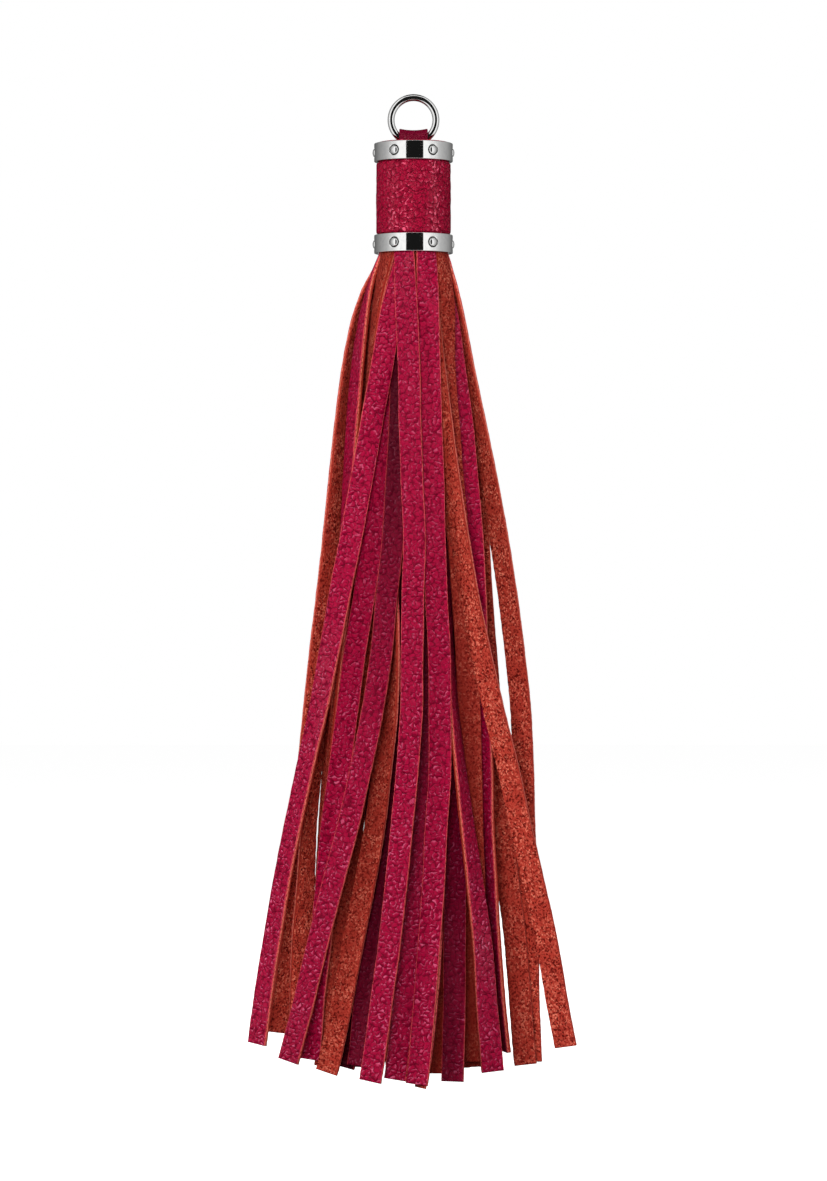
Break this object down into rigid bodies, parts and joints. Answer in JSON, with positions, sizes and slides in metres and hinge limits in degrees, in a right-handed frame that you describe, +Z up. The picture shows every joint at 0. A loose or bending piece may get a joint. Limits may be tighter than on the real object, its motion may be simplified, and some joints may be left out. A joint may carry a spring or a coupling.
{
  "type": "leather tassel",
  "caption": "Long hanging tassel of flat leather strips under a short wrapped head with riveted metal collars and a ring.",
  "frame": {"origin": "the hanging point, the inside of the ring's top", "axes": "+Z up along the hanging tassel, -Y towards the front, where the ring is seen face on, +X to the right"},
  "size_m": [0.0963, 0.0467, 0.2917],
  "materials": {
    "polished_steel": "polished",
    "crimson_leather": "pebbled grain, semi-matte",
    "crimson_band": "pebbled crimson grain on one side, rust suede on the other"
  },
  "bodies": {
    "root": {"ring": "polished_steel", "tab": "crimson_leather", "head_wrap": "crimson_leather", "collar_top": "polished_steel", "collar_bottom": "polished_steel", "rivet_top_1": "polished_steel", "rivet_top_2": "polished_steel", "rivet_top_3": "polished_steel", "rivet_top_4": "polished_steel", "rivet_top_5": "polished_steel", "rivet_top_6": "polished_steel", "rivet_bottom_1": "polished_steel", "rivet_bottom_2": "polished_steel", "rivet_bottom_3": "polished_steel", "rivet_bottom_4": "polished_steel", "rivet_bottom_5": "polished_steel", "rivet_bottom_6": "polished_steel", "fringe": "crimson_band"}
  },
  "joints": []
}
